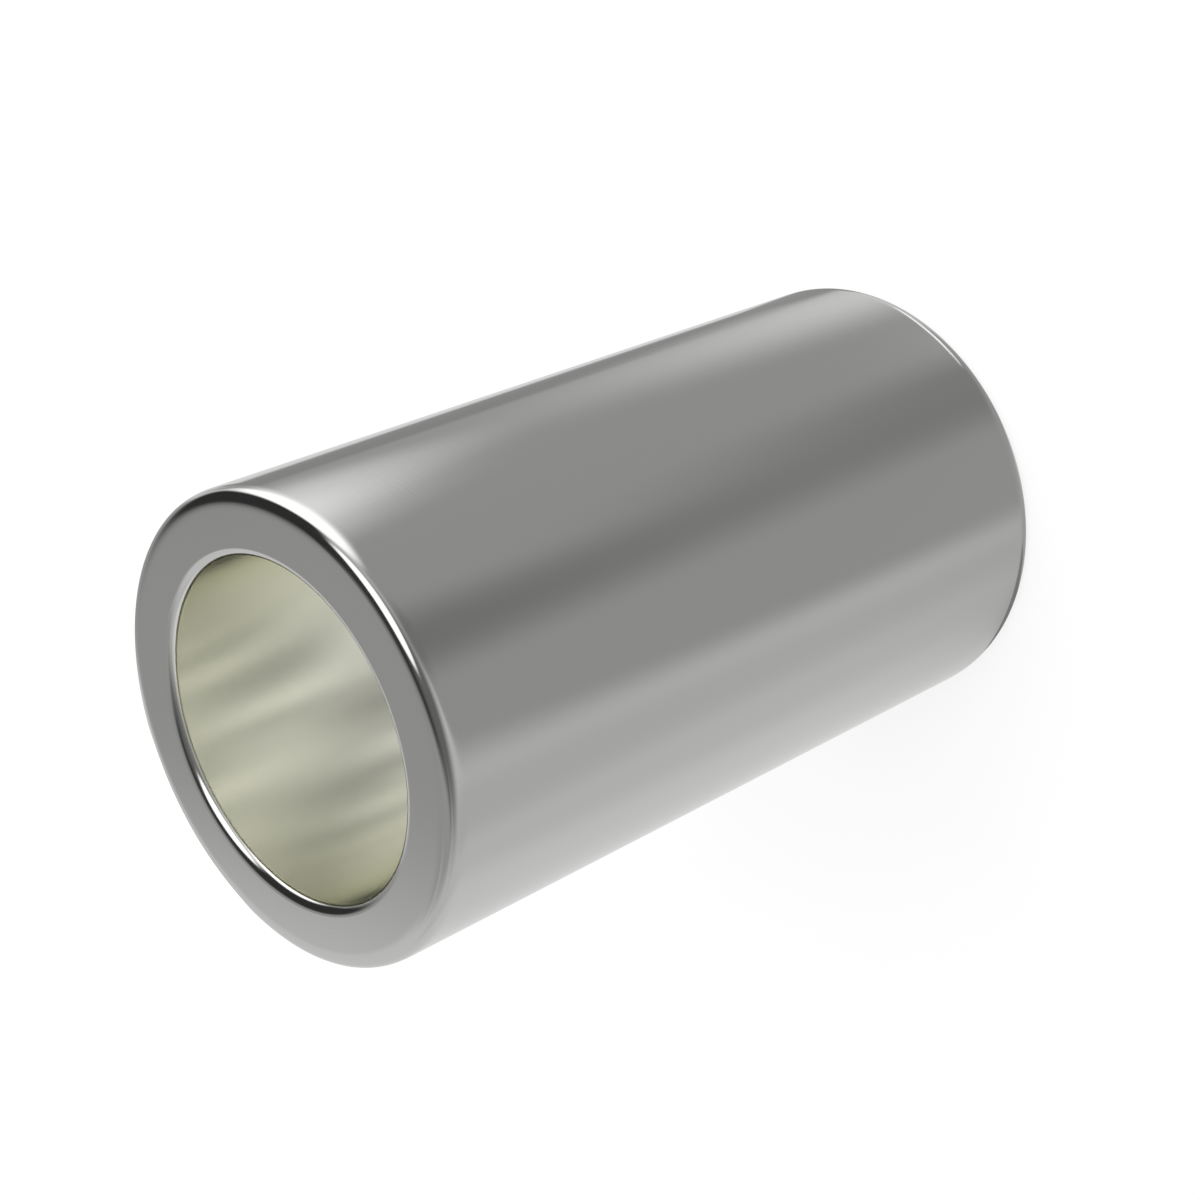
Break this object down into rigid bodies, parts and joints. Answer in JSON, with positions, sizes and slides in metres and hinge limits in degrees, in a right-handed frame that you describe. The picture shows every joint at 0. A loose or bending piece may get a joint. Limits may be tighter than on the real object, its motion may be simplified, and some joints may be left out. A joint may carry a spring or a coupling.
{
  "type": "spacer sleeve",
  "caption": "Plain round spacer sleeve: a straight metal tube with a through bore, flat parallel end faces and rounded edges inside and out.",
  "frame": {"origin": "centre of the lower end face, which the sleeve stands on", "axes": "+Z along the bore axis, up to the other end face; X and Y lie in the lower end face, and the sleeve looks the same from every side"},
  "size_m": [0.018, 0.018, 0.032],
  "materials": {
    "turned_steel": "satin, fine-turned outside and on the end faces, with a slightly warmer straw tone in the bore"
  },
  "bodies": {
    "root": {"sleeve": "turned_steel"}
  },
  "joints": []
}
